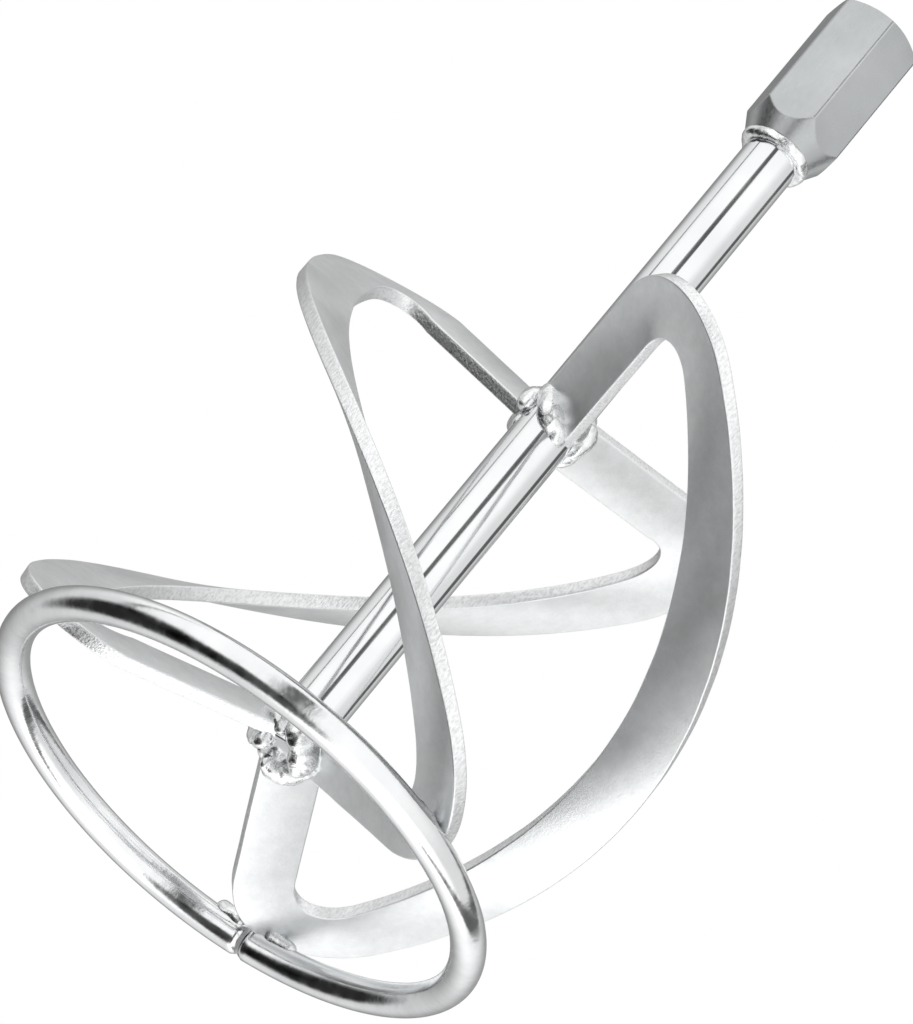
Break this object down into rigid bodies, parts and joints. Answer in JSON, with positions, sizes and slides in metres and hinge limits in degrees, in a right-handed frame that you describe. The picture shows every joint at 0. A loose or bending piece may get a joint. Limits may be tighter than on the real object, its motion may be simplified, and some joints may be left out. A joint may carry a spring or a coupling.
{
  "type": "mortar mixing paddle",
  "caption": "Zinc-plated mixing paddle with helical plates, a round bottom ring, a round shaft and a hex coupling with a female thread.",
  "frame": {"origin": "centre of the bottom ring, on the plane the ring stands on", "axes": "+Z along the shaft, from the bottom ring towards the hex coupling"},
  "size_m": [0.14, 0.14, 0.261],
  "materials": {
    "shaft_steel": "bright zinc plated drawn bar",
    "hex_steel": "bright zinc plated hexagon bar, satin flats",
    "ring_steel": "bright zinc plated bent rod",
    "plate_steel": "zinc plated sheet, fine satin speckle, sheared edges",
    "weld_metal": "zinc plated weld bead, lumpy and glossy"
  },
  "bodies": {
    "root": {"shaft": "shaft_steel", "hex_coupling": "hex_steel", "bottom_ring": "ring_steel", "coupling_weld": "weld_metal", "mixing_plate_1": "plate_steel", "mixing_plate_2": "plate_steel", "mixing_plate_3": "plate_steel", "upper_weld_top_1": "weld_metal", "upper_weld_under_1": "weld_metal", "lower_weld_top_1": "weld_metal", "lower_weld_under_1": "weld_metal", "ring_weld_front_1": "weld_metal", "ring_weld_back_1": "weld_metal", "upper_weld_top_2": "weld_metal", "upper_weld_under_2": "weld_metal", "lower_weld_top_2": "weld_metal", "lower_weld_under_2": "weld_metal", "ring_weld_front_2": "weld_metal", "ring_weld_back_2": "weld_metal", "upper_weld_top_3": "weld_metal", "upper_weld_under_3": "weld_metal", "lower_weld_top_3": "weld_metal", "lower_weld_under_3": "weld_metal", "ring_weld_front_3": "weld_metal", "ring_weld_back_3": "weld_metal"}
  },
  "joints": []
}
